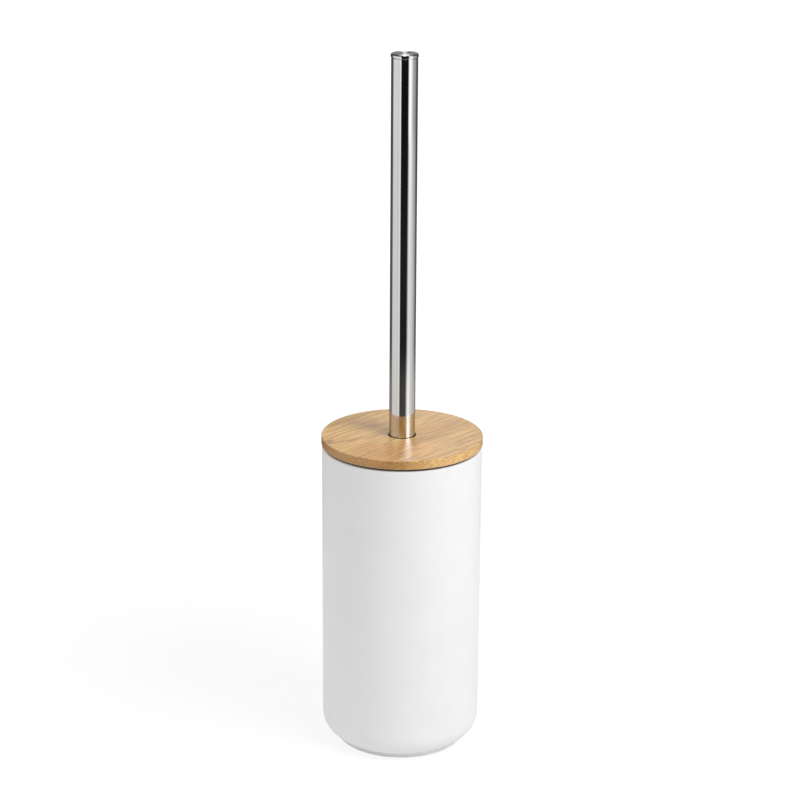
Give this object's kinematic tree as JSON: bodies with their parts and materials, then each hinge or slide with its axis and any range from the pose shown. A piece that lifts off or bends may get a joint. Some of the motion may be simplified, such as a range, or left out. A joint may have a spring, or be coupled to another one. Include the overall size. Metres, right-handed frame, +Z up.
{
  "type": "toilet brush holder",
  "caption": "Slim round toilet brush holder: matt white steel cup, bamboo lid sliding on a polished tube handle, tufted brush head.",
  "frame": {"origin": "centre of the foot ring's underside, on the floor", "axes": "+Z up along the handle; the part is round about Z, so X and Y are free, and the bamboo's grain is set against them in the finish only"},
  "size_m": [0.0996, 0.0996, 0.4374],
  "materials": {
    "coated_steel": "matt white powder coat with a very fine texture",
    "foot_rubber": "matt pale warm grey",
    "liner_plastic": "moulded dark grey polypropylene, satin",
    "bamboo": "laminated bamboo strips under satin lacquer",
    "black_nylon": "matt",
    "polished_steel": "polished stainless steel with faint lengthwise lines",
    "turned_steel": "faced stainless steel with fine turning rings",
    "insert_brass": "machined",
    "stud_steel": "zinc plated",
    "head_plastic": "moulded white polypropylene",
    "bristle_nylon": "white crimped filament"
  },
  "bodies": {
    "holder": {"holder_cup": "coated_steel", "foot_ring": "foot_rubber"},
    "liner": {"drip_liner": "liner_plastic"},
    "brush": {"handle_tube": "polished_steel", "handle_cap": "turned_steel", "tube_insert": "insert_brass", "head_stud": "stud_steel", "brush_core": "head_plastic", "bristle_crown": "bristle_nylon", "bristle_row_1": "bristle_nylon", "bristle_row_2": "bristle_nylon", "bristle_row_3": "bristle_nylon", "bristle_row_4": "bristle_nylon", "bristle_row_5": "bristle_nylon", "bristle_row_6": "bristle_nylon", "bristle_row_7": "bristle_nylon", "bristle_row_8": "bristle_nylon"},
    "lid": {"lid_disc": "bamboo", "lid_bush": "black_nylon"}
  },
  "joints": [
    {"name": "liner_lift", "type": "slide", "parent": "holder", "child": "liner", "axis": [0, 0, 1], "range_m": [0, 0.2]},
    {"name": "brush_lift", "type": "slide", "parent": "liner", "child": "brush", "axis": [0, 0, 1], "range_m": [0, 0.2]},
    {"name": "lid_slide", "type": "slide", "parent": "brush", "child": "lid", "axis": [0, 0, 1], "range_m": [0, 0.2354]}
  ]
}
